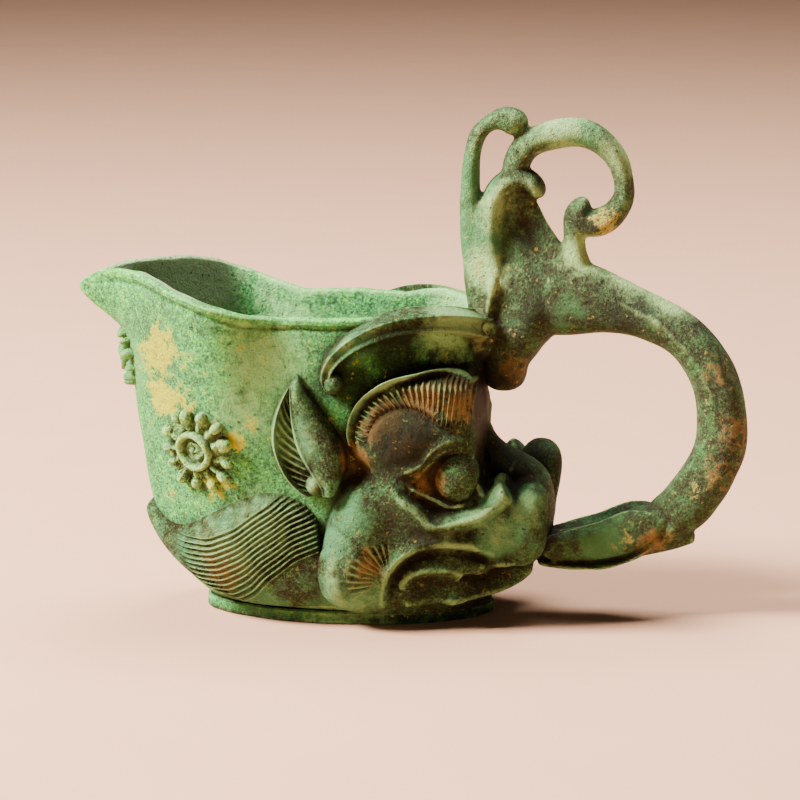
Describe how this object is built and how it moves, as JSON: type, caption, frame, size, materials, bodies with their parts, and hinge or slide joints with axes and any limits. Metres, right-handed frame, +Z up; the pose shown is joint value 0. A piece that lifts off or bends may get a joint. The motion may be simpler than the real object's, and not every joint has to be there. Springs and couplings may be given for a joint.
{
  "type": "bronze wine cup",
  "caption": "Oval pouring cup of cast bronze with a beaked spout, a beast-head mask round its front and a loop handle that leaves the mouth and meets the rim under a crest of scrolls.",
  "frame": {"origin": "centre of the foot's underside, on the surface that the cup stands on", "axes": "+X from the spout to the handle, the way the beast faces; +Y to the beast's left; +Z up"},
  "size_m": [0.1488, 0.0544, 0.1128],
  "materials": {
    "bowl_patina": "matte green patina with worn gilt patches",
    "head_patina": "matte green patina with rust-brown recesses",
    "handle_patina": "matte blue-green patina, worn on the edges",
    "gilt_patina": "worn gilding under green patina"
  },
  "bodies": {
    "root": {"cup_shell": "bowl_patina", "foot_plate": "bowl_patina", "head_mask": "head_patina", "lower_jaw": "head_patina", "right_nostril": "head_patina", "left_nostril": "head_patina", "right_eye": "head_patina", "left_eye": "head_patina", "right_brow": "head_patina", "left_brow": "head_patina", "right_ear": "head_patina", "left_ear": "head_patina", "right_horn": "head_patina", "left_horn": "head_patina", "right_mane": "head_patina", "left_mane": "head_patina", "handle_tongue": "handle_patina", "handle_root": "handle_patina", "handle_stem": "handle_patina", "crest_lobe": "handle_patina", "crest_strap": "handle_patina", "crest_scroll": "handle_patina", "scroll_bud": "handle_patina", "front_rosette": "gilt_patina", "front_rosette_boss": "gilt_patina", "right_rosette": "gilt_patina", "left_rosette": "gilt_patina", "right_rosette_boss": "gilt_patina", "left_rosette_boss": "gilt_patina"}
  },
  "joints": []
}
